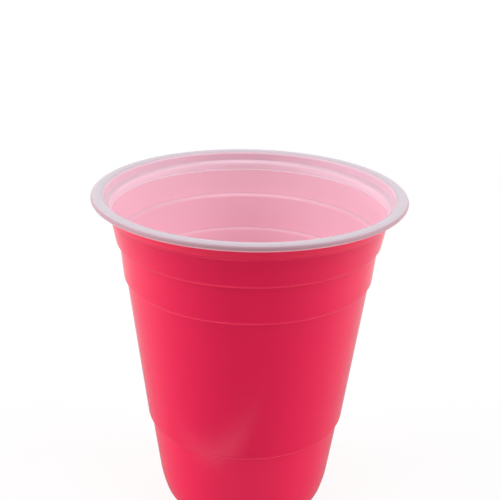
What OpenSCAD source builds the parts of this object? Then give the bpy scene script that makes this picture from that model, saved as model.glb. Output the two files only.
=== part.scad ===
// Thin formed party cup with a rolled lip, three stacking ledges and a recessed base.
// The cup is one sheet. A line through the middle of the sheet is drawn as a few
// corners, its corners are bent to arcs, it gets the thickness of the sheet, and it
// is turned about the axis of the cup. The cup stands on Z = 0 with its axis on Z.

/* [Whole cup] */
// Height from the standing face to the top of the lip
cup_h = 107; // [103:0.5:112]
// Diameter over the rolled lip
rim_d = 95; // [90:0.5:100]
// Thickness of the formed sheet
wall = 0.4; // [0.3:0.05:0.5]

/* [Rolled lip] */
// Width of the roll, from the mouth to the outside
lip_w = 3.9; // [3.6:0.1:4.5]
// Height of the roll
lip_h = 2.3; // [2.1:0.1:2.8]
// Gap between the turned-under edge and the neck
curl_gap = 0.3; // [0.2:0.05:0.5]

/* [Neck] */
// Depth below the rim at which the neck steps in
neck_depth = 3.6; // [3.2:0.1:4.2]
// How far the neck steps in
neck_in = 1.7; // [1.2:0.1:2]
// Depth below the rim of the lower edge of the plain band under the neck
band_depth = 6.2; // [5.8:0.1:7.5]
// How far the wall steps in under that band
band_in = 0.3; // [0.2:0.05:0.5]

/* [Ledges] */
// Depth of the upper ledge below the rim
ledge1_depth = 14.7; // [12:0.1:18]
// How far the wall steps in at the upper ledge
ledge1_in = 1; // [0.6:0.05:1.3]
// Depth of the middle ledge below the rim
ledge2_depth = 26.5; // [22:0.1:30]
// How far the wall steps in at the middle ledge
ledge2_in = 0.75; // [0.6:0.05:1.3]
// Depth of the lower ledge below the rim
ledge3_depth = 74.6; // [68:0.2:80]
// How far the wall steps in at the lower ledge
ledge3_in = 0.9; // [0.6:0.05:1.3]
// Height in which the wall makes each step
step_rise = 0.5; // [0.3:0.05:0.8]
// Radius of the sheet's bends at the steps
step_bend = 0.5; // [0.3:0.05:0.6]

/* [Taper of the wall] */
// Lean of the wall above the upper ledge, in degrees
taper_a = 10.1; // [8:0.1:12]
// Lean between the upper and the middle ledge, in degrees
taper_b = 5.3; // [4:0.1:7]
// Lean between the middle and the lower ledge, in degrees
taper_c = 6.9; // [5.5:0.1:8]
// Lean below the lower ledge, in degrees
taper_d = 7.6; // [6:0.1:9]

/* [Base] */
// Height above the standing face at which the wall turns in to the hip
hip_z = 9.6; // [9:0.2:11.5]
// Radius of the long bend at the hip
hip_bend = 38; // [25:1:45]
// How far the hip runs in before it meets the standing face
hip_in = 2.7; // [2:0.1:3.5]
// Radius of the rounded corner above the standing face
foot_bend = 7.4; // [6:0.1:8.5]
// Width of the flat ring that the cup stands on
foot_w = 2; // [1.5:0.1:4]
// Height of the recess under the base
recess_h = 3.2; // [3:0.1:5]
// Lean of the wall of the recess, in degrees
recess_taper = 8; // [4:1:15]
// Radius of the sheet's bends at the recess
recess_bend = 1.3; // [0.8:0.1:1.4]

/* [Hidden] */
// Degrees turned in one straight piece of a small bend
small_step = 18;
// Degrees turned in one straight piece of the hip and of the corner above the foot
wide_step = 8;
$fn = 96;

// Middle of the roll, seen in section, and half its size to the middle of the sheet
roll_mid = [rim_d / 2 - lip_w / 2, cup_h - lip_h / 2];
roll_half = [(lip_w - wall) / 2, (lip_h - wall) / 2];
// Radius of the neck to the middle of the sheet
neck_r = roll_mid.x - roll_half.x;
// Angle, round the roll's own ellipse, at which the turned-under edge ends
curl_end = acos(1 - (wall + curl_gap) / roll_half.x) - 180;

// Heights at the middle of each step
neck_z = cup_h - neck_depth;
band_z = cup_h - band_depth;
ledge1_z = cup_h - ledge1_depth;
ledge2_z = cup_h - ledge2_depth;
ledge3_z = cup_h - ledge3_depth;

// Radii to the middle of the sheet, above each step
band_r = neck_r - neck_in;
ledge1_r = band_r - band_in - run_in(band_z - ledge1_z, taper_a);
ledge2_r = ledge1_r - ledge1_in - run_in(ledge1_z - ledge2_z, taper_b);
ledge3_r = ledge2_r - ledge2_in - run_in(ledge2_z - ledge3_z, taper_c);
hip_r = ledge3_r - ledge3_in - run_in(ledge3_z - hip_z, taper_d);

// The middle of the sheet along the standing face and under the recess
foot_z = wall / 2;
base_z = recess_h + wall / 2;
// Radius of the sharp corner at the foot, of the ring's inner edge and of the recess
foot_r = hip_r - hip_in;
foot_turn = 90 - atan2(hip_in, hip_z);
recess_r = foot_r - foot_bend * tan(foot_turn / 2) - foot_w
    - recess_bend * tan((90 - recess_taper) / 2);
recess_top_r = recess_r - run_in(recess_h, recess_taper);

// Distance that a wall leaning by an angle runs in over a height
function run_in(height, angle) = height * tan(angle);
function unit(v) = v / norm(v);
function left_of(v) = [-v.y, v.x];
function turned(v, angle) =
    [v.x * cos(angle) - v.y * sin(angle), v.x * sin(angle) + v.y * cos(angle)];

// The two corners of a step in the wall: [radius, height, bend, degrees a piece]
function step_corners(r, z, in) = [
    [r, z + step_rise / 2, step_bend, small_step],
    [r - in, z - step_rise / 2, step_bend, small_step]
];

// Arc that replaces the corner b on the way from a to c
function arc_at(a, b, c, radius, piece) =
    let (
        back = unit(a - b),
        ahead = unit(c - b),
        half = acos(back * ahead) / 2,
        turn = 180 - 2 * half,
        side = sign(cross(-back, ahead)),
        centre = b + unit(back + ahead) * radius / sin(half),
        start = b + back * radius / tan(half) - centre,
        pieces = ceil(turn / piece)
    )
    [for (i = [0:pieces]) centre + turned(start, side * turn * i / pieces)];

// A line through corners, with each corner but the two ends bent to an arc
function bent_line(corners) =
    let (
        last = len(corners) - 1,
        at = [for (c = corners) [c.x, c.y]]
    )
    [
        at[0],
        for (i = [1:last - 1])
            each arc_at(at[i - 1], at[i], at[i + 1], corners[i][2], corners[i][3]),
        at[last]
    ];

// The line moved to its left by a distance, which keeps the distance at its bends
function moved_line(line, by) =
    let (last = len(line) - 1)
    [for (i = [0:last])
        let (
            before = unit(line[max(i, 1)] - line[max(i, 1) - 1]),
            after = unit(line[min(i + 1, last)] - line[min(i + 1, last) - 1]),
            across = left_of(unit(before + after))
        )
        line[i] + across * by / (across * left_of(before))];

function reversed(list) = [for (i = [len(list) - 1:-1:0]) list[i]];

// Part of the roll's ellipse, whose angle 0 is its outermost point
function roll_arc(from, to) =
    let (pieces = ceil((to - from) / small_step))
    [for (i = [0:pieces])
        let (angle = from + (to - from) * i / pieces)
        roll_mid + [roll_half.x * cos(angle), roll_half.y * sin(angle)]];

// The roll of the lip, from its turned-under edge over the outside to the neck.
// The point where its arcs meet is taken once, and the last one opens the body line.
function roll_line() =
    let (under = roll_arc(curl_end, 0), over = roll_arc(0, 180))
    [
        for (i = [0:len(under) - 1]) under[i],
        for (i = [1:len(over) - 2]) over[i]
    ];

// The neck, the three bands of wall, the hip, the foot and the base, down to the axis
function body_line() = bent_line([
    [neck_r, roll_mid.y],
    each step_corners(neck_r, neck_z, neck_in),
    each step_corners(band_r, band_z, band_in),
    each step_corners(ledge1_r, ledge1_z, ledge1_in),
    each step_corners(ledge2_r, ledge2_z, ledge2_in),
    each step_corners(ledge3_r, ledge3_z, ledge3_in),
    [hip_r, hip_z, hip_bend, wide_step],
    [foot_r, foot_z, foot_bend, wide_step],
    [recess_r, foot_z, recess_bend, small_step],
    [recess_top_r, base_z, recess_bend, small_step],
    [0, base_z]
]);

// Closed section of a sheet whose middle follows a line
module sheet_section(line) {
    polygon(concat(moved_line(line, wall / 2), reversed(moved_line(line, -wall / 2))));
}

module cup() {
    color("#ef3f6f") rotate_extrude() sheet_section(concat(roll_line(), body_line()));
}

cup();
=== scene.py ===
"""A formed party cup: one thin sheet of plastic, pink outside and white inside, with
a rolled white lip, three stacking ledges and a recessed base, on a plain pale floor.

The cup is a surface of revolution. Its section is the one that the frame's solid has,
drawn finely: a line through the middle of the sheet, moved half the sheet's thickness
to either side and turned about the Z axis. All lengths are in metres."""

import bpy
import numpy as np
from bpy.props import FloatProperty, FloatVectorProperty, IntProperty, PointerProperty
from bpy.types import Operator, Panel, PropertyGroup
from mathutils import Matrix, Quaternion, Vector


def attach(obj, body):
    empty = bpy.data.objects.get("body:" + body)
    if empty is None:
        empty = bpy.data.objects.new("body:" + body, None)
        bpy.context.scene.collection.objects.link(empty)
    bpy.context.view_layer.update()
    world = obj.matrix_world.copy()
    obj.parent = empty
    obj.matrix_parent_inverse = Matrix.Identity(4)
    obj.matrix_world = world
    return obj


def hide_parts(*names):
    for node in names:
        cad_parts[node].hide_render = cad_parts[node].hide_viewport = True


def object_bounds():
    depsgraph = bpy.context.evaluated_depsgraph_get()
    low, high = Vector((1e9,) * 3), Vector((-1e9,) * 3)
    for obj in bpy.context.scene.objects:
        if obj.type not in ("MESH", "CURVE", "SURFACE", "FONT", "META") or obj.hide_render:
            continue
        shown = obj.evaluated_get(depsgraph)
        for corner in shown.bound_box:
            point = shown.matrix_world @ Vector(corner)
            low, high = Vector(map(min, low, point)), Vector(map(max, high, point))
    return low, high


bl_info = {
    "name": "Formed Party Cup",
    "version": (1, 0, 0),
    "blender": (4, 5, 0),
    "location": "View3D > Sidebar > Party Cup",
    "description": "Makes a thin formed party cup with a rolled lip, and its studio",
    "category": "Add Mesh",
}

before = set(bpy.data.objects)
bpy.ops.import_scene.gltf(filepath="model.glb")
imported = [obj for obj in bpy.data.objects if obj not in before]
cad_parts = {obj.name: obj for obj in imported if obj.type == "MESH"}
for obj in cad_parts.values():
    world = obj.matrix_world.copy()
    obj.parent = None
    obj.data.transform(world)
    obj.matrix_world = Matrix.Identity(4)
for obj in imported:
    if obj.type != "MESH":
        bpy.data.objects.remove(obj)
CAD_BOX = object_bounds()

MM = 0.001
# The frame gives the cup's height and its diameter over the lip. The solid's lip has
# flat faces, so the diameter is taken where it is least, and a hair under it, which
# keeps the finer surface inside the solid's box.
HAIR = 0.003 * MM
CUP_HEIGHT = CAD_BOX[1].z - HAIR
RIM_DIAMETER = 2 * min(-CAD_BOX[0].x, CAD_BOX[1].x, -CAD_BOX[0].y, CAD_BOX[1].y) - HAIR

# The photograph's frame is square, and its camera is the common 36 mm wide one
PICTURE_SIDE = 500
SENSOR = 36.0


def linear(code):
    """An sRGB hex value as linear red, green and blue: the sRGB curve undone."""
    value = np.array([int(code[i : i + 2], 16) / 255 for i in (1, 3, 5)])
    low = value / 12.92
    high = ((value + 0.055) / 1.055) ** 2.4
    return tuple(float(v) for v in np.where(value <= 0.04045, low, high))


def length(name, description, default, low=0.0):
    """A length that the sidebar shows in the scene's units."""
    return FloatProperty(name=name, description=description, default=default, min=low,
                         unit="LENGTH", precision=5)


def angle(name, description, default):
    """An angle in degrees at its default, kept in radians."""
    return FloatProperty(name=name, description=description,
                         default=float(np.radians(default)), unit="ROTATION")


def colour(name, description, code):
    """A colour that the sidebar shows, from an sRGB hex value."""
    return FloatVectorProperty(name=name, description=description, subtype="COLOR",
                               size=3, min=0.0, max=1.0, default=linear(code))


class CupSizes(PropertyGroup):
    """The sizes of the cup's section, the same as those of the frame's solid."""

    height: length("Height", "From the standing face to the top of the lip", CUP_HEIGHT)
    rim: length("Rim diameter", "Diameter over the rolled lip", RIM_DIAMETER)
    wall: length("Sheet", "Thickness of the formed sheet", 0.4 * MM)
    lip_width: length("Lip width", "Width of the roll, mouth to outside", 3.9 * MM)
    lip_height: length("Lip height", "Height of the roll", 2.3 * MM)
    curl_gap: length("Curl gap", "Gap between the turned-under edge and the neck", 0.3 * MM)
    neck_depth: length("Neck depth", "Depth below the rim where the neck steps in", 3.6 * MM)
    neck_in: length("Neck step", "How far the neck steps in", 1.7 * MM)
    band_depth: length("Band depth", "Depth of the plain band's lower edge", 6.2 * MM)
    band_in: length("Band step", "How far the wall steps in under the band", 0.3 * MM)
    ledge1_depth: length("Upper ledge depth", "Depth below the rim", 14.7 * MM)
    ledge1_in: length("Upper ledge", "How far the wall steps in", 1.0 * MM)
    ledge2_depth: length("Middle ledge depth", "Depth below the rim", 26.5 * MM)
    ledge2_in: length("Middle ledge", "How far the wall steps in", 0.75 * MM)
    ledge3_depth: length("Lower ledge depth", "Depth below the rim", 74.6 * MM)
    ledge3_in: length("Lower ledge", "How far the wall steps in", 0.9 * MM)
    step_rise: length("Step height", "Height in which the wall makes a step", 0.5 * MM)
    step_bend: length("Step bend", "Radius of the sheet's bends at the steps", 0.5 * MM)
    taper_a: angle("Upper lean", "Lean of the wall above the upper ledge", 10.1)
    taper_b: angle("Second lean", "Lean between the upper and middle ledges", 5.3)
    taper_c: angle("Third lean", "Lean between the middle and lower ledges", 6.9)
    taper_d: angle("Lower lean", "Lean below the lower ledge", 7.6)
    hip_z: length("Hip height", "Height where the wall turns in to the hip", 9.6 * MM)
    hip_bend: length("Hip bend", "Radius of the long bend at the hip", 38 * MM)
    hip_in: length("Hip run", "How far the hip runs in", 2.7 * MM)
    foot_bend: length("Foot bend", "Radius of the corner above the foot", 7.4 * MM)
    foot_width: length("Foot width", "Width of the ring that the cup stands on", 2.0 * MM)
    recess: length("Recess height", "Height of the recess under the base", 3.2 * MM)
    recess_taper: angle("Recess lean", "Lean of the recess's wall", 8)
    recess_bend: length("Recess bend", "Radius of the bends at the recess", 1.3 * MM)
    turns: IntProperty(name="Steps round", description="Faces round the cup",
                       default=200, min=24, max=360)


class CupColours(PropertyGroup):
    """The colours of the sheet's two layers and of the lip, and their tints of painted light
    and shade: paler on the plain band, the ledges' edges, below the lowest ledge and under
    the roll's middle, and darker where the liner is bent to a step, in the neck and on the
    roll's outermost face."""

    skin: colour("Outer skin", "Pink outer layer of the sheet", "#e6064a")
    # Painted light: the paler pink of the plain band under the lip and of the ledges' edges
    pale: colour("Pale skin", "The pink of the plain band and of the ledges' edges",
                 "#f92959")
    # Painted highlight: the palest pink at the edge of the lowest ledge
    edge: colour("Lowest edge", "The palest pink, at the edge of the lowest ledge", "#ff386a")
    # Partly the liner's own pale pink and partly painted light, for the light that comes
    # through the wall
    liner: colour("Liner", "White inner layer, with the pink showing through it", "#f1bece")
    # Painted shade: the greyer pink in the neck under the roll
    liner_neck_shade: colour("Liner in the neck", "A greyer pink, between the roll and the neck",
                       "#e8c4d2")
    # Painted light: the whiter liner on the plain band
    liner_band_light: colour("Liner of the band", "Whiter, where the sheet is hardly drawn",
                       "#f8dce8")
    lip: colour("Lip", "White of the rolled lip, where the sheet isn't drawn thin", "#baadb6")
    # Partly the pink showing through and partly painted shade on the roll's outermost face
    lip_edge_pink_and_shade: colour("Lip's edge", "The roll's outermost face, where the pink shows through",
                     "#b38d97")
    # Painted light under the roll's middle
    lip_under_light: colour("Lip's underside", "Where light comes down through the roll",
                      "#e2a6b2")


class StudioSettings(PropertyGroup):
    """The camera that the photograph was taken with, and the light of the studio."""

    distance: length("Distance", "From the camera to the middle of the rim", 265.2 * MM)
    elevation: angle("Elevation", "Height of the camera above the rim", 17.51)
    roll: angle("Roll", "How far the picture leans", 1.32)
    focal: FloatProperty(name="Focal length", description="Focal length in pixels",
                         default=877.4, min=100)
    seen_x: FloatProperty(name="Rim centre across", default=250.0,
                          description="Pixel column where the middle of the rim is seen")
    seen_y: FloatProperty(name="Rim centre down", default=188.8,
                          description="Pixel row where the middle of the rim is seen")
    floor: colour("Floor", "Pale floor", "#f0f0f0")
    floor_radius: length("Floor radius", "Radius of the round floor", 3.0)
    room_light: FloatProperty(name="Room", default=0.066,
                              description="Brightness of the room's even light")
    side_light: FloatProperty(name="Room at the sides", default=0.716,
                              description="Brightness that gloss sees to the sides")
    back_light: FloatProperty(name="Room behind", default=0.927,
                              description="Brightness that gloss sees behind the cup")
    patch_light: FloatProperty(name="Patch of light", default=0.66,
                               description="Brightness of the patch that gloss sees on "
                                           "the floor before the cup")


# Straight pieces in the parts of the section
UNDER_PIECES = 20
OVER_PIECES = 32
STEP_PIECES = 7
HIP_PIECES = 6
FOOT_PIECES = 20
RECESS_PIECES = 12
# How many of the pieces over the roll are the lip's white. The rest are the liner's.
WHITE_PIECES = 20


def unit_vector(v):
    """v divided by its length."""
    return v / np.linalg.norm(v)


def bend(before, corner, after, radius, pieces):
    """An arc in place of a corner: a circle that touches both lines at the corner,
    centred on the line that halves them, and turned through in equal pieces."""
    back = unit_vector(before - corner)
    ahead = unit_vector(after - corner)
    half = np.arccos(back @ ahead) / 2
    centre = corner + unit_vector(back + ahead) * radius / np.sin(half)
    start = corner + back * radius / np.tan(half) - centre
    side = np.sign(ahead[0] * back[1] - ahead[1] * back[0])
    turn = side * (np.pi - 2 * half) * np.linspace(0, 1, pieces + 1)
    across = np.array([-start[1], start[0]])
    return centre + np.outer(np.cos(turn), start) + np.outer(np.sin(turn), across)


def bent_line(corners):
    """A line of (radius, height, bend radius, pieces) corners with its bends made."""
    at = np.array([c[:2] for c in corners])
    arcs = [
        bend(at[i - 1], at[i], at[i + 1], *corners[i][2:])
        for i in range(1, len(corners) - 1)
    ]
    return np.vstack([at[:1], *arcs, at[-1:]])


def run_in(height, lean):
    """How far a wall that leans by an angle runs in over a height."""
    return height * np.tan(lean)


def roll_arc(middle, half, start, end, pieces):
    """Part of the roll's ellipse, at equal steps of its own angle."""
    turn = np.linspace(start, end, pieces + 1)
    return middle + half * np.stack([np.cos(turn), np.sin(turn)], axis=1)


def sheet_line(s):
    """The line through the middle of the sheet, as radius and height: the roll of the
    lip from its turned-under edge, over the outside and in to the neck, then the bent
    line of the neck, the wall's three bands, the hip, the foot and the base. Returns
    the line and the number of its points that lie on the lip's white."""
    middle = np.array([s.rim / 2 - s.lip_width / 2, s.height - s.lip_height / 2])
    half = np.array([s.lip_width - s.wall, s.lip_height - s.wall]) / 2
    neck = middle[0] - half[0]
    curl_end = np.arccos(1 - (s.wall + s.curl_gap) / half[0]) - np.pi
    under = roll_arc(middle, half, curl_end, 0, UNDER_PIECES)
    over = roll_arc(middle, half, 0, np.pi, OVER_PIECES)
    white_points = len(under) + WHITE_PIECES

    def step(radius, height, inwards):
        """The two corners of a step in the wall."""
        rise = s.step_rise / 2
        return [
            (radius, height + rise, s.step_bend, STEP_PIECES),
            (radius - inwards, height - rise, s.step_bend, STEP_PIECES),
        ]

    neck_z, band_z, z1, z2, z3 = (
        s.height - depth
        for depth in (s.neck_depth, s.band_depth, s.ledge1_depth, s.ledge2_depth,
                      s.ledge3_depth)
    )
    band = neck - s.neck_in
    r1 = band - s.band_in - run_in(band_z - z1, s.taper_a)
    r2 = r1 - s.ledge1_in - run_in(z1 - z2, s.taper_b)
    r3 = r2 - s.ledge2_in - run_in(z2 - z3, s.taper_c)
    hip = r3 - s.ledge3_in - run_in(z3 - s.hip_z, s.taper_d)
    foot_z = s.wall / 2
    base_z = s.recess + s.wall / 2
    foot = hip - s.hip_in
    foot_turn = np.pi / 2 - np.arctan2(s.hip_in, s.hip_z)
    recess = foot - s.foot_bend * np.tan(foot_turn / 2) - s.foot_width
    recess -= s.recess_bend * np.tan((np.pi / 2 - s.recess_taper) / 2)
    recess_top = recess - run_in(s.recess, s.recess_taper)
    body = bent_line(
        [(neck, middle[1], 0, 0)]
        + step(neck, neck_z, s.neck_in)
        + step(band, band_z, s.band_in)
        + step(r1, z1, s.ledge1_in)
        + step(r2, z2, s.ledge2_in)
        + step(r3, z3, s.ledge3_in)
        + [
            (hip, s.hip_z, s.hip_bend, HIP_PIECES),
            (foot, foot_z, s.foot_bend, FOOT_PIECES),
            (recess, foot_z, s.recess_bend, RECESS_PIECES),
            (recess_top, base_z, s.recess_bend, RECESS_PIECES),
            (0.0, base_z, 0, 0),
        ]
    )
    return np.vstack([under, over[1:-1], body]), white_points


def with_holding_points(line, first, near=0.3 * MM, apart=4 * MM):
    """The line with more points on its long straight stretches: one near each end, so
    that the bend's shading stays in the bend, and others at equal distances."""
    along = np.r_[0, np.cumsum(np.linalg.norm(np.diff(line, axis=0), axis=1))]
    lengths = np.diff(along)
    long = lengths > 3 * near
    ends = np.r_[along[:-1][long] + near, along[1:][long] - near]
    even = np.arange(apart, along[-1], apart)
    piece = np.searchsorted(along, even) - 1
    clear = (even - along[piece] > 2 * near) & (along[piece + 1] - even > 2 * near)
    places = np.unique(np.r_[along, ends, even[clear]])
    points = np.stack([np.interp(places, along, line[:, k]) for k in (0, 1)], axis=1)
    return points, int(np.searchsorted(places, along[first]))


def moved_line(line, by):
    """The line moved to its left: each point goes along the halfway direction of its
    two neighbours' normals, far enough to keep the distance from both."""
    steps = np.diff(line, axis=0)
    steps /= np.linalg.norm(steps, axis=1, keepdims=True)
    before = np.vstack([steps[:1], steps])
    after = np.vstack([steps, steps[-1:]])
    along = before + after
    along /= np.linalg.norm(along, axis=1, keepdims=True)
    across = np.stack([-along[:, 1], along[:, 0]], axis=1)
    normal = np.stack([-before[:, 1], before[:, 0]], axis=1)
    return line + across * (by / np.sum(across * normal, axis=1))[:, None]


def turned(chain, steps):
    """A closed surface from a section that starts and ends on the axis. A point is
    (r cos t, r sin t, z), with r and z from the section and t round the axis. The two
    ends of the section are the poles. Returns the points, faces and each face's row."""
    t = np.linspace(0, 2 * np.pi, steps, endpoint=False)
    rings = chain[1:-1]
    grid = np.empty((len(rings), steps, 3))
    grid[..., 0] = rings[:, :1] * np.cos(t)
    grid[..., 1] = rings[:, :1] * np.sin(t)
    grid[..., 2] = rings[:, 1:]
    poles = np.array([[0, 0, chain[0, 1]], [0, 0, chain[-1, 1]]])
    points = np.vstack([grid.reshape(-1, 3), poles])
    index = np.arange(len(rings) * steps).reshape(len(rings), steps)
    following = np.roll(index, -1, axis=1)
    quads = np.stack([index[:-1], following[:-1], following[1:], index[1:]], axis=-1)
    first, last = len(points) - 2, len(points) - 1
    low = np.stack([np.full(steps, first), following[0], index[0]], axis=1)
    high = np.stack([index[-1], following[-1], np.full(steps, last)], axis=1)
    faces = quads.reshape(-1, 4).tolist() + low.tolist() + high.tolist()
    rows = np.r_[
        np.repeat(np.arange(1, len(rings)), steps),
        np.zeros(steps, int),
        np.full(steps, len(rings)),
    ]
    return points, faces, rows


def new_object(name, points, faces):
    """A smooth mesh object at the origin, linked to the scene."""
    mesh = bpy.data.meshes.new(name)
    mesh.from_pydata(points.tolist(), [], faces)
    mesh.shade_smooth()
    thing = bpy.data.objects.new(name, mesh)
    bpy.context.scene.collection.objects.link(thing)
    return thing


def add_node(tree, kind, inputs=None, links=None, **settings):
    """Adds a node of a kind to a tree, with its settings, its input values and the
    sockets that its inputs are linked from."""
    node = tree.nodes.new(kind)
    for name, value in settings.items():
        setattr(node, name, value)
    for name, value in (inputs or {}).items():
        node.inputs[name].default_value = value
    for name, socket in (links or {}).items():
        tree.links.new(socket, node.inputs[name])
    return node


# Where a Mix node of the colour kind keeps its factor, its two colours and its result
MIX_FACTOR, MIX_A, MIX_B, MIX_RESULT = 0, 6, 7, 2


def new_material(name):
    """An empty material with its output node."""
    material = bpy.data.materials.new(name)
    material.use_nodes = True
    tree = material.node_tree
    tree.nodes.clear()
    return material, tree, add_node(tree, "ShaderNodeOutputMaterial")


# The skin of formed sheet: how far across and how deep its waves and its grain are
WAVE_ACROSS, WAVE_DEPTH = 9 * MM, 0.25 * MM
GRAIN_ACROSS, GRAIN_DEPTH = 0.7 * MM, 0.01 * MM
POLYSTYRENE_IOR = 1.59


def moulded_bump(tree, place, strength):
    """The faint skin of formed sheet: a slow waviness, left by uneven stretching, and a
    fine grain."""
    wave = add_node(tree, "ShaderNodeTexNoise", {"Scale": 1 / WAVE_ACROSS, "Detail": 1.0},
                    {"Vector": place})
    grain = add_node(tree, "ShaderNodeTexNoise", {"Scale": 1 / GRAIN_ACROSS, "Detail": 2.0},
                     {"Vector": place})
    coarse = add_node(tree, "ShaderNodeBump", {"Strength": strength, "Distance": WAVE_DEPTH},
                      {"Height": wave.outputs[0]})
    return add_node(tree, "ShaderNodeBump", {"Strength": strength, "Distance": GRAIN_DEPTH},
                    {"Height": grain.outputs[0], "Normal": coarse.outputs[0]})


def polystyrene(tree, output, place, tint, roughness, bump):
    """The shader of formed polystyrene sheet in a tint, linked to the output."""
    shader = add_node(
        tree, "ShaderNodeBsdfPrincipled",
        {"Roughness": roughness, "IOR": POLYSTYRENE_IOR},
        {"Base Color": tint, "Normal": moulded_bump(tree, place, bump).outputs[0]},
    )
    tree.links.new(shader.outputs[0], output.inputs["Surface"])


def height_at(tree, place):
    """Height above the standing face."""
    return add_node(tree, "ShaderNodeSeparateXYZ", links={"Vector": place}).outputs["Z"]


def radius_at(tree, place):
    """Distance from the cup's axis."""
    flat = add_node(tree, "ShaderNodeVectorMath", {1: (1, 1, 0)}, {0: place},
                    operation="MULTIPLY")
    return add_node(tree, "ShaderNodeVectorMath", links={0: flat.outputs[0]},
                    operation="LENGTH").outputs["Value"]


def mixed(tree, factor, before, after, way="MIX"):
    """One colour where the factor is 0 and the other, or their product, where it is 1."""
    node = add_node(tree, "ShaderNodeMix", links={MIX_FACTOR: factor}, data_type="RGBA",
                    blend_type=way)
    for place, shade in ((MIX_A, before), (MIX_B, after)):
        if isinstance(shade, tuple):
            node.inputs[place].default_value = (*shade, 1)
        else:
            tree.links.new(shade, node.inputs[place])
    return node.outputs[MIX_RESULT]


def soft_rise(tree, value, at, fade):
    """0 for low values and 1 for high ones, with a soft change near a value: the fade is
    how far from it the change starts and ends."""
    return add_node(tree, "ShaderNodeMapRange",
                    {"From Min": at + fade[0], "From Max": at + fade[1]},
                    {"Value": value}, interpolation_type="SMOOTHSTEP").outputs[0]


# Where the tints of painted light and shade change, as heights from the middle of a step of
# the wall
BAND_FADE = (-0.1 * MM, 0.2 * MM)
NECK_FADE = (-0.55 * MM, -0.3 * MM)
EDGE_LOW_FADE = (-0.85 * MM, -0.6 * MM)
EDGE_TOP_FADE = (-0.1 * MM, 0.1 * MM)
# The same on the lip: out from the mouth to the lip's white, out to the roll's outermost face
# and its
# # painted shade, and up to the middle of the roll, below which the pink is painted light
MOUTH_FADE = (0.05 * MM, 0.45 * MM)
OUTERMOST_FADE = (-0.6 * MM, -0.2 * MM)
MIDDLE_FADE = (-0.42 * MM, -0.12 * MM)


# The names of the cup's two attributes: the share of painted light on the skin and of painted
# shade on the liner
PAINTED_LIGHT_SHARE, STEP_SHADE_SHARE = "painted_light_share", "step_shade_share"
# The painted line at a step, light on the skin and shade on the liner, is this far from its
# middle to its end, and fades over this
LINE_REACH, LINE_FADE = 0.5 * MM, 0.2 * MM
# The middle of the line lies above the step on the liner and below it on the skin
LINER_LINE_UP, SKIN_LINE_DOWN = 0.2 * MM, 0.25 * MM
# The ends of the band of painted light on the skin, from the middles of the band's two steps
PALE_BAND_LOW = np.array([0.2, 0.4]) * MM
PALE_BAND_TOP = np.array([-0.6, -0.3]) * MM
# Share of the paler pink below the lowest ledge: painted light, where the floor lights the
# lower wall
LOW_LIGHT_SHARE = 0.2


def near_steps(heights, steps):
    """1 on a line at each of some heights, falling to 0 at the line's ends."""
    off = np.abs(heights[:, None] - np.array(steps)).min(axis=1)
    return np.clip((LINE_REACH - off) / LINE_FADE, 0, 1)


def step_shade_share(heights, s):
    """1 where the liner is bent to a step of the wall, and 0 elsewhere: the share of painted
    shade there.
    """
    depths = (s.neck_depth, s.band_depth, s.ledge1_depth, s.ledge2_depth, s.ledge3_depth)
    return near_steps(heights, [s.height - depth + LINER_LINE_UP for depth in depths])


def painted_light_share(heights, s):
    """How much painted light, as a paler pink, the skin has at each height: all of it on the
    plain band and, as a painted highlight, on the ledges' outer edges, and a little below the
    lowest ledge."""
    edges = [s.height - depth - SKIN_LINE_DOWN
             for depth in (s.ledge1_depth, s.ledge2_depth, s.ledge3_depth)]
    band_z, neck_z = s.height - s.band_depth, s.height - s.neck_depth
    places = [*(band_z + PALE_BAND_LOW), *(neck_z + PALE_BAND_TOP)]
    band = np.interp(heights, places, [0, 1, 1, 0])
    low = np.where(heights < s.height - s.ledge3_depth, LOW_LIGHT_SHARE, 0.0)
    return np.max([band, near_steps(heights, edges), low], axis=0)


# Streaks down the skin: how far across they are, how much longer than that, and how
# dark the deepest is against the skin's own colour
STREAK_ACROSS, STREAK_STRETCH, STREAK_SHADE = 12 * MM, 12.5, 0.93
# Painted shade: how much of the liner's colour is left where it is bent to a step, which tones
# down the highlights there
BENT_SHADE = 0.87


def pink_skin(colours, s):
    """High-impact polystyrene, pink through its outer layer and drawn down over a
    polished plug: an even, saturated pink with a soft gloss. Where the sheet stretched
    most it is a touch deeper, in faint streaks down the wall. Painted light makes the skin
    paler on the plain band under the lip, on the bent edges of the ledges as a painted
    highlight, palest at the lowest one, and a little below the lowest ledge."""
    material, tree, output = new_material("pink_polystyrene_skin")
    place = add_node(tree, "ShaderNodeTexCoord").outputs["Object"]
    stretch = add_node(tree, "ShaderNodeMapping", {"Scale": (1, 1, 1 / STREAK_STRETCH)},
                       {"Vector": place})
    streaks = add_node(tree, "ShaderNodeTexNoise", {"Scale": 1 / STREAK_ACROSS, "Detail": 2.0},
                       {"Vector": stretch.outputs[0]})
    skin = tuple(colours.skin)
    tint = mixed(tree, streaks.outputs[0], tuple(STREAK_SHADE * v for v in skin), skin)
    # Painted light: the paler pink on the plain band, the ledges' edges and below the lowest
    # ledge
    share = add_node(tree, "ShaderNodeAttribute", attribute_name=PAINTED_LIGHT_SHARE)
    plain = mixed(tree, share.outputs["Fac"], tint, tuple(colours.pale))
    height = height_at(tree, place)
    # Painted highlight: the palest pink at the edge of the lowest ledge
    edge_z = s.height - s.ledge3_depth
    over_low_end = soft_rise(tree, height, edge_z, EDGE_LOW_FADE)
    over_edge = soft_rise(tree, height, edge_z, EDGE_TOP_FADE)
    edged = mixed(tree, over_low_end, plain, tuple(colours.edge))
    pink = mixed(tree, over_edge, edged, plain)
    polystyrene(tree, output, place, pink, roughness=0.2, bump=0.15)
    return material


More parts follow.
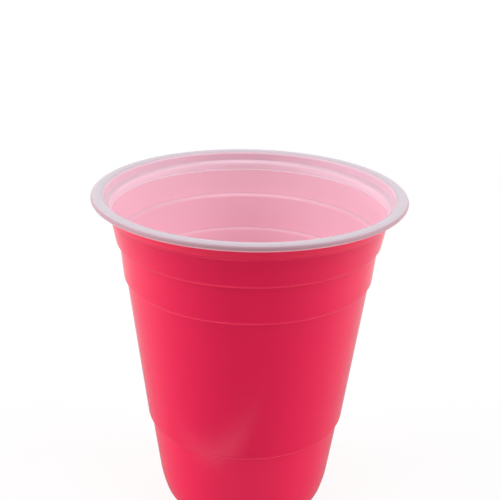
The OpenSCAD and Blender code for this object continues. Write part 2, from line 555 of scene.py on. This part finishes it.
def white_liner(colours, s):
    """High-impact polystyrene, the white inner layer. It is thin, so the pink layer
    behind it shows through and the inside looks pale pink; that pink is also raised as
    painted light, for the light that comes through the wall. Painted shade makes it a little
    deeper where the sheet is bent to a step, toning down the highlights there, and greyer
    in the neck under the roll. Painted light makes it whiter on the plain band. It changes
    softly to the lip's white on the roll."""
    material, tree, output = new_material("white_polystyrene_liner")
    place = add_node(tree, "ShaderNodeTexCoord").outputs["Object"]
    height = height_at(tree, place)
    # Painted light whitens the plain band and painted shade greys the neck
    on_band = soft_rise(tree, height, s.height - s.band_depth, BAND_FADE)
    on_neck = soft_rise(tree, height, s.height - s.neck_depth, NECK_FADE)
    mouth = s.rim / 2 - s.lip_width
    on_lip = soft_rise(tree, radius_at(tree, place), mouth, MOUTH_FADE)
    tint = mixed(tree, on_band, tuple(colours.liner), tuple(colours.liner_band_light))
    tint = mixed(tree, on_neck, tint, tuple(colours.liner_neck_shade))
    # Painted shade where the liner is bent to a step
    bent = add_node(tree, "ShaderNodeAttribute", attribute_name=STEP_SHADE_SHARE).outputs["Fac"]
    tint = mixed(tree, bent, tint, (BENT_SHADE,) * 3, "MULTIPLY")
    tint = mixed(tree, on_lip, tint, tuple(colours.lip))
    polystyrene(tree, output, place, tint, roughness=0.25, bump=0.12)
    return material


def white_lip(colours, s):
    """High-impact polystyrene, rolled over hot at the rim: white and satin. Round the
    roll's outermost face it is a darker mauve, partly the pink showing through the thin white
    layer and partly painted shade of the face that looks towards the dark room in front.
    Below the roll's middle it is a brighter pink, painted light for the light that comes
    through the sheet."""
    material, tree, output = new_material("rolled_white_polystyrene")
    place = add_node(tree, "ShaderNodeTexCoord").outputs["Object"]
    # Partly painted shade: the darker mauve round the roll's outermost face
    outside = soft_rise(tree, radius_at(tree, place), s.rim / 2, OUTERMOST_FADE)
    middle_z = s.height - s.lip_height / 2
    # Painted light: the brighter pink below the roll's middle
    above = soft_rise(tree, height_at(tree, place), middle_z, MIDDLE_FADE)
    tint = mixed(tree, outside, tuple(colours.lip), tuple(colours.lip_edge_pink_and_shade))
    tint = mixed(tree, above, tuple(colours.lip_under_light), tint)
    polystyrene(tree, output, place, tint, roughness=0.25, bump=0.15)
    return material


# The places of the three materials on the cup
SKIN, LINER, LIP = range(3)


class CUP_OT_make_cup(Operator):
    """Makes the cup in place of the frame's solid"""

    bl_idname = "cup.make_cup"
    bl_label = "Make the cup"

    def execute(self, context):
        sizes = context.scene.cup_sizes
        colours = context.scene.cup_colours
        line, white_points = with_holding_points(*sheet_line(sizes))
        skin = moved_line(line, sizes.wall / 2)
        liner = moved_line(line, -sizes.wall / 2)
        # The section runs from the axis up the pink side into the roll, round the edge of
        # the sheet, and over the roll and down the white side back to the axis
        chain = np.vstack([skin[::-1], liner])
        chain[[0, -1], 0] = 0.0
        points, faces, rows = turned(chain, sizes.turns)
        cup = new_object("cup_shell", points, faces)
        kinds = np.full(len(rows), LINER)
        kinds[rows < len(skin) - 1] = SKIN
        kinds[(rows >= len(skin) - 1) & (rows < len(skin) + white_points)] = LIP
        for name, share in ((PAINTED_LIGHT_SHARE, painted_light_share(points[:, 2], sizes)),
                            (STEP_SHADE_SHARE, step_shade_share(points[:, 2], sizes))):
            kept = cup.data.attributes.new(name, "FLOAT", "POINT")
            kept.data.foreach_set("value", share)
        for material in (pink_skin(colours, sizes), white_liner(colours, sizes),
                         white_lip(colours, sizes)):
            cup.data.materials.append(material)
        cup.data.polygons.foreach_set("material_index", kinds.astype(np.int32))
        cup.data.update()
        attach(cup, "root")
        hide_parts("cup")
        return {"FINISHED"}


def photograph_camera(studio, rim_z):
    """The camera that the photograph was taken with. It stands in front of the rim's
    middle, which it sees at a given pixel, and leans by its roll."""
    rim = Vector((0, 0, rim_z))
    away = Vector((0, -np.cos(studio.elevation), np.sin(studio.elevation)))
    half = PICTURE_SIDE / 2
    ray = Vector(((studio.seen_x - half) / studio.focal,
                  -(studio.seen_y - half) / studio.focal, -1)).normalized()
    data = bpy.data.cameras.new("photograph_camera")
    data.sensor_width = SENSOR
    data.lens = SENSOR * studio.focal / PICTURE_SIDE
    data.clip_start = 10 * MM
    camera = bpy.data.objects.new("photograph_camera", data)
    camera.location = rim + away * studio.distance
    camera.rotation_mode = "QUATERNION"
    camera.rotation_quaternion = (
        (-away).to_track_quat("-Z", "Y")
        @ Quaternion((0, 0, 1), studio.roll)
        @ ray.rotation_difference(Vector((0, 0, -1)))
    )
    return camera


def room_level(tree, way, studio):
    """How bright the room is in a direction, as a reflection shows it: dark where the
    camera stands, rising evenly to the sides and less from there to the back."""
    ahead = add_node(tree, "ShaderNodeSeparateXYZ", links={"Vector": way}).outputs["Y"]
    side = add_node(tree, "ShaderNodeMapRange",
                    {"From Min": -1.0, "From Max": 0.0, "To Max": studio.side_light},
                    {"Value": ahead})
    back = add_node(tree, "ShaderNodeMapRange",
                    {"From Min": 0.0, "From Max": 1.0,
                     "To Max": studio.back_light - studio.side_light},
                    {"Value": ahead})
    return add_node(tree, "ShaderNodeMath",
                    links={0: side.outputs[0], 1: back.outputs[0]}).outputs[0]


# Where a Mix node of the float kind keeps its two numbers
BLEND_A, BLEND_B = 2, 3


def blend(tree, factor, without, with_it):
    """One number where the factor is 0 and the other where it is 1."""
    node = add_node(tree, "ShaderNodeMix", links={MIX_FACTOR: factor}, data_type="FLOAT")
    for place, value in ((BLEND_A, without), (BLEND_B, with_it)):
        if isinstance(value, float):
            node.inputs[place].default_value = value
        else:
            tree.links.new(value, node.inputs[place])
    return node.outputs[0]


def studio_room(studio):
    """A dim even room. Reflections see it bright behind the cup and at its sides and dark
    in front of it, where the camera stands. The camera sees it white all round."""
    world = bpy.data.worlds.new("studio_room")
    world.use_nodes = True
    tree = world.node_tree
    tree.nodes.clear()
    way = add_node(tree, "ShaderNodeTexCoord").outputs["Generated"]
    path = add_node(tree, "ShaderNodeLightPath").outputs
    reflected = blend(tree, path["Is Glossy Ray"], studio.room_light,
                      room_level(tree, way, studio))
    clear = add_node(tree, "ShaderNodeMath",
                     links={0: path["Is Camera Ray"], 1: path["Is Transmission Ray"]},
                     operation="MAXIMUM")
    strength = blend(tree, clear.outputs[0], reflected, 1.0)
    shader = add_node(tree, "ShaderNodeBackground", {"Color": (1, 1, 1, 1)},
                      {"Strength": strength})
    add_node(tree, "ShaderNodeOutputWorld", links={"Surface": shader.outputs[0]})
    world.cycles.sampling_method = "NONE"
    return world


def soft_lamp(target, name, place, width, height, power):
    """A rectangular soft box that faces a point. Reflections see the room instead."""
    data = bpy.data.lights.new(name, "AREA")
    data.shape = "RECTANGLE"
    data.size, data.size_y = width, height
    data.energy = power
    lamp = bpy.data.objects.new(name, data)
    lamp.visible_glossy = False
    lamp.location = place
    towards = Vector(target) - Vector(place)
    lamp.rotation_mode = "QUATERNION"
    lamp.rotation_quaternion = towards.to_track_quat("-Z", "Y")
    return lamp


# Share of the floor that the camera sees as plain white at the cup's foot. The rest is
# seen as it is lit, which keeps the cup's shadow. Half a metre away all of it is white.
WHITE_SHARE = 0.84
WHITE_FROM = 0.5
FLOOR_STEPS = 96

# How bright a reflection shows the floor at the cup's foot, against the room in that
# direction, and the distances from the axis between which it rises to the room's own
FOOT_SHADE = 0.53
FOOT_REACH = (0.05, 0.3)

# The soft oval patch of light on the floor that the lower wall reflects faintly
PATCH_PLACE = (-22 * MM, -58 * MM, 0)
PATCH_TURN = (0, 0, -np.radians(36))
PATCH_HALF = (68 * MM, 10 * MM, 1)


def floor_seen_by_gloss(tree, place, distance, studio, rim_z):
    """How bright a reflection shows the floor: as the room is in the same direction from
    the middle of the cup, dimmer near the foot, and brighter in the patch of light."""
    ray = add_node(tree, "ShaderNodeVectorMath", {1: (0, 0, rim_z / 2)}, {0: place},
                   operation="SUBTRACT")
    way = add_node(tree, "ShaderNodeVectorMath", links={0: ray.outputs[0]},
                   operation="NORMALIZE")
    shade = add_node(tree, "ShaderNodeMapRange",
                     {"From Min": FOOT_REACH[0], "From Max": FOOT_REACH[1],
                      "To Min": FOOT_SHADE},
                     {"Value": distance})
    room = add_node(tree, "ShaderNodeMath",
                    links={0: room_level(tree, way.outputs[0], studio),
                           1: shade.outputs[0]}, operation="MULTIPLY")
    oval = add_node(tree, "ShaderNodeMapping",
                    {"Location": PATCH_PLACE, "Rotation": PATCH_TURN, "Scale": PATCH_HALF},
                    {"Vector": place}, vector_type="TEXTURE")
    off = add_node(tree, "ShaderNodeVectorMath", links={0: oval.outputs[0]},
                   operation="LENGTH")
    patch = add_node(tree, "ShaderNodeMath", {1: -studio.patch_light, 2: studio.patch_light},
                     {0: soft_rise(tree, off.outputs["Value"], 0.0, (0.0, 1.0))},
                     operation="MULTIPLY_ADD")
    return add_node(tree, "ShaderNodeMath",
                    links={0: room.outputs[0], 1: patch.outputs[0]}).outputs[0]


def floor_paint(studio, rim_z):
    """Plain pale paint. The camera sees most of it as white and the rest as it is lit,
    and reflections see the room in it."""
    material, tree, output = new_material("pale_floor_paint")
    path = add_node(tree, "ShaderNodeLightPath").outputs
    paint = add_node(tree, "ShaderNodeBsdfDiffuse", {"Color": (*studio.floor, 1)})
    place = add_node(tree, "ShaderNodeTexCoord").outputs["Object"]
    distance = add_node(tree, "ShaderNodeVectorMath", links={0: place},
                        operation="LENGTH").outputs["Value"]
    level = blend(tree, path["Is Glossy Ray"], 1.0,
                  floor_seen_by_gloss(tree, place, distance, studio, rim_z))
    glow = add_node(tree, "ShaderNodeEmission", links={"Strength": level})
    white = add_node(tree, "ShaderNodeMapRange",
                     {"From Min": 0.0, "From Max": WHITE_FROM, "To Min": WHITE_SHARE},
                     {"Value": distance})
    clear = add_node(tree, "ShaderNodeMath",
                     links={0: white.outputs[0], 1: path["Is Camera Ray"]},
                     operation="MULTIPLY")
    share = add_node(tree, "ShaderNodeMath",
                     links={0: clear.outputs[0], 1: path["Is Glossy Ray"]},
                     operation="MAXIMUM")
    mix = add_node(tree, "ShaderNodeMixShader",
                   links={0: share.outputs[0], 1: paint.outputs[0], 2: glow.outputs[0]})
    tree.links.new(mix.outputs[0], output.inputs["Surface"])
    material.cycles.emission_sampling = "NONE"
    return material


def pale_floor(studio, rim_z):
    """A round pale floor: a fan of triangles on the plane Z = 0, round its middle."""
    t = np.linspace(0, 2 * np.pi, FLOOR_STEPS, endpoint=False)
    ring = studio.floor_radius * np.stack([np.cos(t), np.sin(t), 0 * t], axis=1)
    points = np.vstack([ring, np.zeros((1, 3))])
    index = np.arange(FLOOR_STEPS)
    middle = np.full(FLOOR_STEPS, FLOOR_STEPS)
    faces = np.stack([index, np.roll(index, -1), middle], axis=1)
    floor = new_object("floor", points, faces.tolist())
    floor.data.materials.append(floor_paint(studio, rim_z))
    return floor


# The soft boxes: name, place, width, height and power. They face the cup's middle.
LAMPS = (
    ("left_low", (-0.7, 0, 0.1), 0.5, 0.2, 2.1),
    ("right_low", (0.7, 0, 0.1), 0.5, 0.2, 1.35),
    ("left_high", (-0.55, 0, 0.6), 0.4, 0.4, 3.46),
    ("right_high", (0.55, 0, 0.6), 0.4, 0.4, 3.4),
    ("left_front", (-0.45, -0.35, 0.6), 0.4, 0.4, 1.73),
    ("right_front", (0.45, -0.35, 0.6), 0.4, 0.4, 1.64),
    ("back_box", (0, 0.5, 0.7), 0.8, 0.5, 1.78),
)


class CUP_OT_make_studio(Operator):
    """Makes the floor, the lamps, the room's light and the camera"""

    bl_idname = "cup.make_studio"
    bl_label = "Make the studio"

    def execute(self, context):
        scene = context.scene
        studio = scene.cup_studio
        rim_z = scene.cup_sizes.height
        middle = (0, 0, rim_z / 2)
        for lamp in LAMPS:
            scene.collection.objects.link(soft_lamp(middle, *lamp))
        scene.camera = photograph_camera(studio, rim_z)
        scene.collection.objects.link(scene.camera)
        pale_floor(studio, rim_z)
        scene.world = studio_room(studio)
        scene.view_settings.view_transform = "Standard"
        return {"FINISHED"}


class CUP_PT_panel(Panel):
    """The cup's pieces, sizes, colours and studio"""

    bl_idname = "CUP_PT_panel"
    bl_label = "Party Cup"
    bl_space_type = "VIEW_3D"
    bl_region_type = "UI"
    bl_category = "Party Cup"

    def draw(self, context):
        scene = context.scene
        for maker in OPERATORS:
            self.layout.operator(maker.bl_idname)
        for group in (scene.cup_sizes, scene.cup_colours, scene.cup_studio):
            box = self.layout.box()
            for name in group.__annotations__:
                box.prop(group, name)


OPERATORS = (CUP_OT_make_cup, CUP_OT_make_studio)
CLASSES = (CupSizes, CupColours, StudioSettings, *OPERATORS, CUP_PT_panel)


def register():
    for kind in CLASSES:
        bpy.utils.register_class(kind)
    bpy.types.Scene.cup_sizes = PointerProperty(type=CupSizes)
    bpy.types.Scene.cup_colours = PointerProperty(type=CupColours)
    bpy.types.Scene.cup_studio = PointerProperty(type=StudioSettings)


def unregister():
    del bpy.types.Scene.cup_studio
    del bpy.types.Scene.cup_colours
    del bpy.types.Scene.cup_sizes
    for kind in reversed(CLASSES):
        bpy.utils.unregister_class(kind)


def main():
    """Makes the cup and its studio."""
    register()
    bpy.ops.cup.make_cup()
    bpy.ops.cup.make_studio()


if __name__ == "__main__":
    main()
